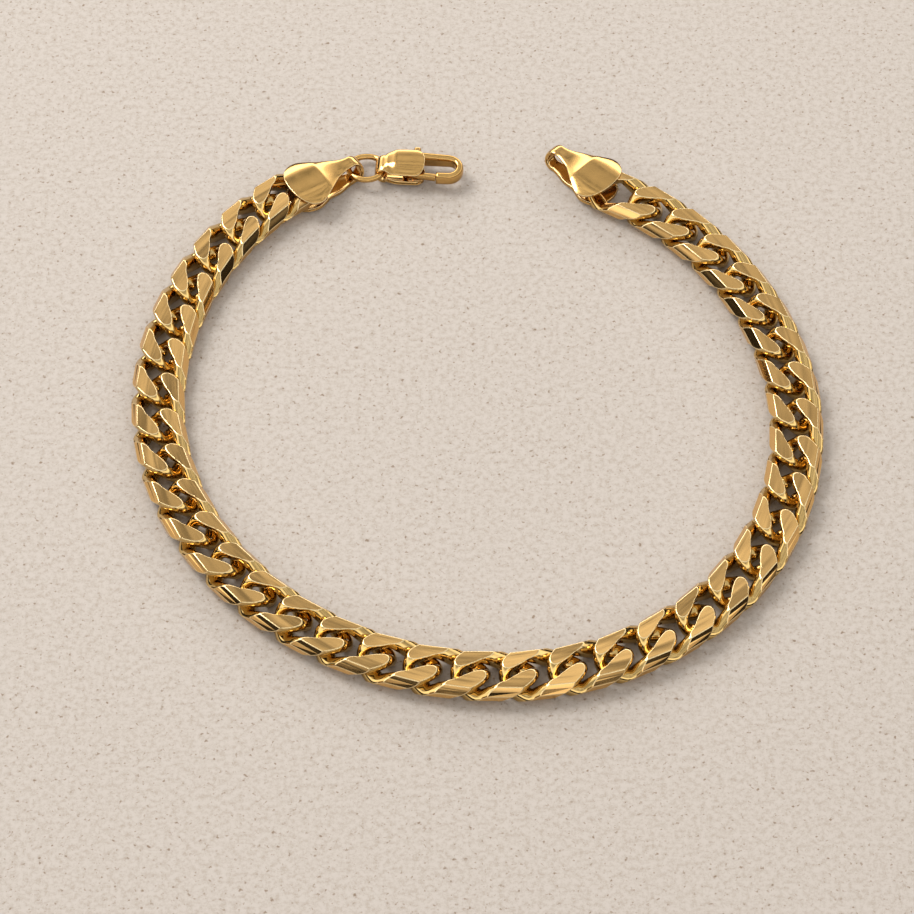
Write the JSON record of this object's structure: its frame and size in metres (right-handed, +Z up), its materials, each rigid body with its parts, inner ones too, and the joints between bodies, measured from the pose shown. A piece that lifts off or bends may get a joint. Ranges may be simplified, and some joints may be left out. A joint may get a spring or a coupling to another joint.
{
  "type": "cuban link bracelet",
  "caption": "Open cuban link bracelet of flat-cut, bevelled curb links, with folded end tabs, a jump ring and a lobster clasp whose lever turns.",
  "frame": {"origin": "under the middle of the plan's bounding box, on the surface that the bracelet lies on", "axes": "+Z up from the surface, +Y towards the two open ends, +X to the right as seen from the front of the loop"},
  "size_m": [0.0762, 0.0772, 0.0028],
  "materials": {
    "links": "polished yellow gold plate, flat diamond-cut facets",
    "tabs": "polished yellow gold plate",
    "clasp": "polished yellow gold plate"
  },
  "bodies": {
    "bracelet": {"link_01": "links", "link_02": "links", "link_03": "links", "link_04": "links", "link_05": "links", "link_06": "links", "link_07": "links", "link_08": "links", "link_09": "links", "link_10": "links", "link_11": "links", "link_12": "links", "link_13": "links", "link_14": "links", "link_15": "links", "link_16": "links", "link_17": "links", "link_18": "links", "link_19": "links", "link_20": "links", "link_21": "links", "link_22": "links", "link_23": "links", "link_24": "links", "link_25": "links", "link_26": "links", "link_27": "links", "link_28": "links", "link_29": "links", "link_30": "links", "link_31": "links", "link_32": "links", "link_33": "links", "link_34": "links", "link_35": "links", "clasp_tab": "tabs", "eye_tab": "tabs", "jump_ring": "clasp", "clasp_body": "clasp"},
    "lever": {"clasp_lever": "clasp"}
  },
  "joints": [
    {"name": "lever_pivot", "type": "hinge", "parent": "bracelet", "child": "lever", "pos_m": [-0.00818, 0.03516, 0.0014], "axis": [0, 0, 1], "range_deg": [0, 20], "stiffness_Nm_per_rad": 0.001}
  ]
}
